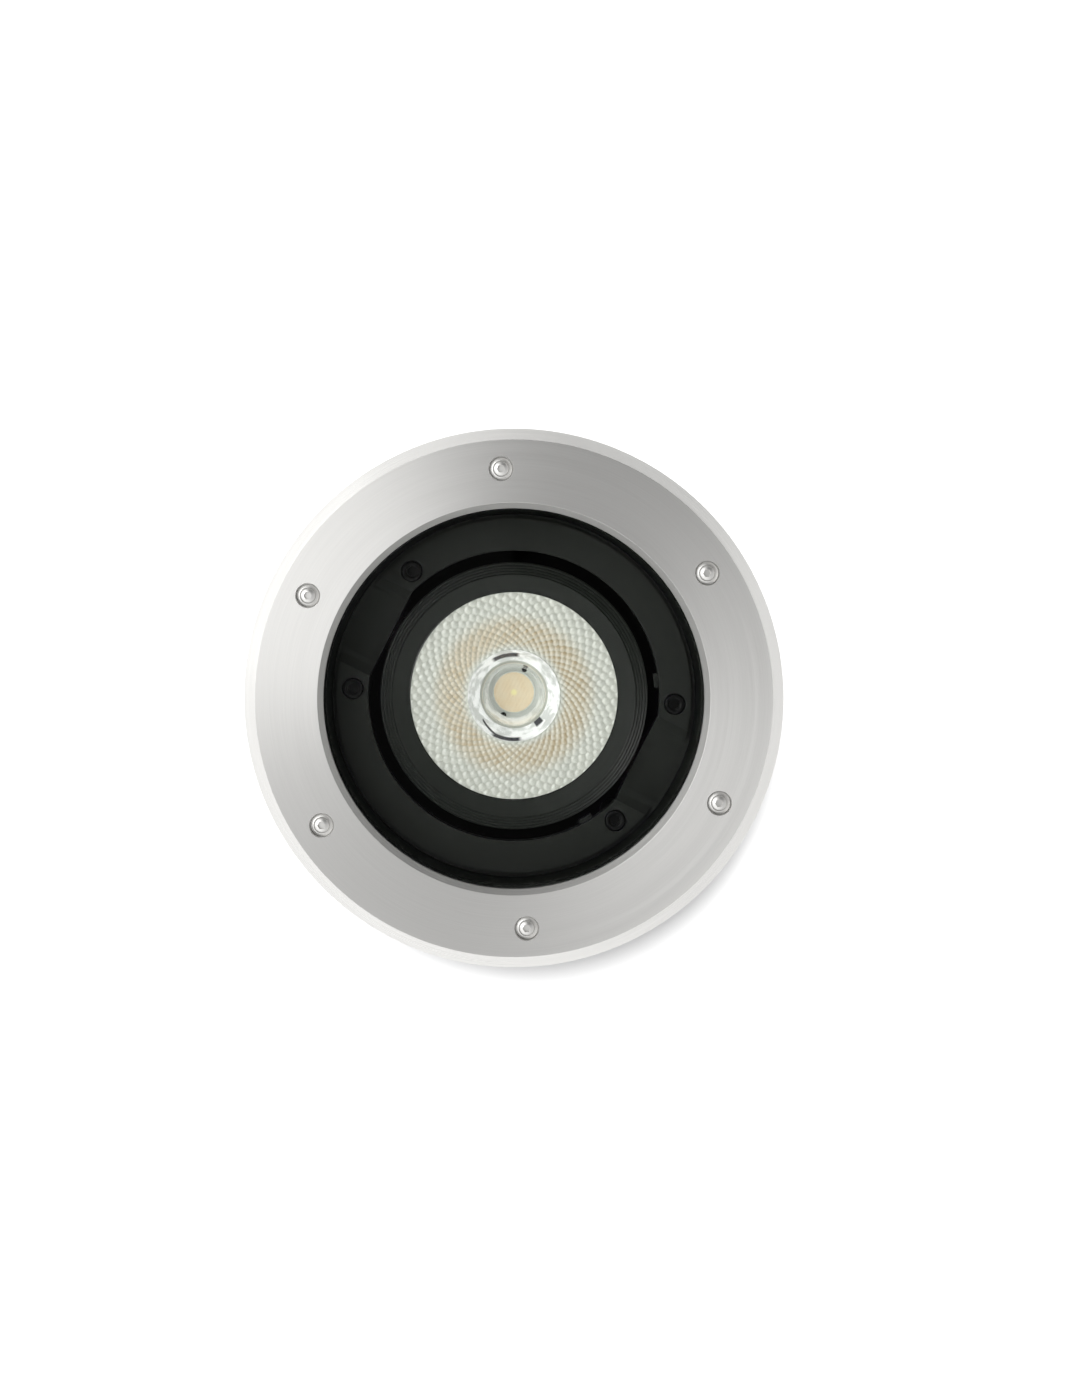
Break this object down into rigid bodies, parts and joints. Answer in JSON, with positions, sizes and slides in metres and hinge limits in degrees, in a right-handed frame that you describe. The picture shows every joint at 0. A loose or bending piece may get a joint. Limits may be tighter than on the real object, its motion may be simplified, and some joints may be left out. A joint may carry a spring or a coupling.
{
  "type": "recessed spotlight",
  "caption": "Round in-ground spotlight: screwed stainless rim, clear glass, sealed cast body and a lamp head with a faceted optic that tilts on pivots behind the glass.",
  "frame": {"origin": "centre of the rim's underside, in the plane that rests on the ground", "axes": "+Z out of the ground, the way the light goes; X along the lamp head's tilt axis; -Y towards the cable gland"},
  "size_m": [0.23, 0.23, 0.1962],
  "materials": {
    "brushed_stainless": "brushed",
    "polished_screw": "polished",
    "clear_glass": "clear",
    "black_rubber": "matte",
    "black_cast": "fine black powder coat",
    "black_oxide_screw": "black oxide",
    "plain_steel": "zinc plated",
    "bronze": "sintered",
    "friction_fibre": "matte",
    "optic_plastic": "clear moulded",
    "white_plastic": "matte",
    "chip_ceramic": "matte",
    "chip_phosphor": "matte",
    "thermal_silicone": "soft",
    "lead_white": "silicone",
    "lead_brown": "insulated",
    "driver_case": "moulded",
    "terminal_plastic": "moulded",
    "brass_screw": "plain",
    "black_nylon": "moulded",
    "grey_rubber": "matte"
  },
  "bodies": {
    "housing": {"rim": "brushed_stainless", "rim_screws": "polished_screw", "glass": "clear_glass", "glass_gasket": "black_rubber", "body": "black_cast", "cradle_ring": "black_cast", "cradle_screws": "black_oxide_screw", "pivot_bushes": "bronze", "lamp_lead": "lead_white", "lead_grommet": "black_rubber", "driver": "driver_case", "driver_bracket": "plain_steel", "driver_screws": "plain_steel", "terminal_block": "terminal_plastic", "terminal_screws": "brass_screw", "driver_wires": "lead_brown", "earth_screw": "brass_screw", "base_cover": "black_cast", "base_gasket": "black_rubber", "base_screws": "plain_steel", "vent_plug": "black_nylon", "vent_seal": "black_rubber", "gland_body": "black_nylon", "gland_washer": "black_rubber", "gland_locknut": "black_nylon", "gland_seal": "grey_rubber", "gland_nut": "black_nylon"},
    "head": {"pivot_pins": "plain_steel", "friction_washers": "friction_fibre", "front_ring": "black_cast", "optic": "optic_plastic", "optic_seal": "black_rubber", "can": "black_cast", "chip_holder": "white_plastic", "chip_holder_screws": "plain_steel", "chip_base": "chip_ceramic", "chip_glow": "chip_phosphor", "thermal_pad": "thermal_silicone", "heat_sink": "black_cast", "heat_sink_screws": "plain_steel", "head_lead": "lead_white"}
  },
  "joints": [
    {"name": "head_tilt", "type": "hinge", "parent": "housing", "child": "head", "pos_m": [0, 0, -0.0493], "axis": [1, 0, 0], "range_deg": [-15, 15]}
  ]
}
